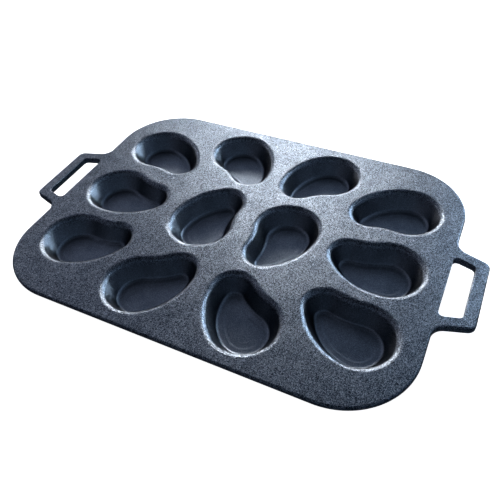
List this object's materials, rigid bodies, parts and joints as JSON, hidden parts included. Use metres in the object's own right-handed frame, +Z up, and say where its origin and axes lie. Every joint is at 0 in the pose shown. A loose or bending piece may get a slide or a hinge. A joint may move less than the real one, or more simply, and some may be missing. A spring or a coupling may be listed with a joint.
{
  "type": "oyster grill pan",
  "caption": "Flat rectangular cast iron grill pan with rounded corners, bean-shaped drop wells for oysters on the half shell and a loop handle at each end.",
  "frame": {"origin": "on the surface that the pan stands on, under the middle of the deck", "axes": "+X along the length towards one handle, +Y towards the far long side, +Z up"},
  "size_m": [0.459, 0.305, 0.0234],
  "materials": {
    "seasoned_cast_iron": "sand-cast, factory seasoned, satin blue-black"
  },
  "bodies": {
    "root": {"deck_far_left": "seasoned_cast_iron", "deck_middle_left": "seasoned_cast_iron", "deck_near_left": "seasoned_cast_iron", "deck_far_right": "seasoned_cast_iron", "deck_middle_right": "seasoned_cast_iron", "deck_near_right": "seasoned_cast_iron", "well_far_left_outer": "seasoned_cast_iron", "well_far_left_inner": "seasoned_cast_iron", "well_far_right_inner": "seasoned_cast_iron", "well_far_right_outer": "seasoned_cast_iron", "well_middle_left_outer": "seasoned_cast_iron", "well_middle_left_inner": "seasoned_cast_iron", "well_middle_right_inner": "seasoned_cast_iron", "well_middle_right_outer": "seasoned_cast_iron", "well_near_left_outer": "seasoned_cast_iron", "well_near_left_inner": "seasoned_cast_iron", "well_near_right_inner": "seasoned_cast_iron", "well_near_right_outer": "seasoned_cast_iron", "handle_left": "seasoned_cast_iron", "handle_right": "seasoned_cast_iron"}
  },
  "joints": []
}
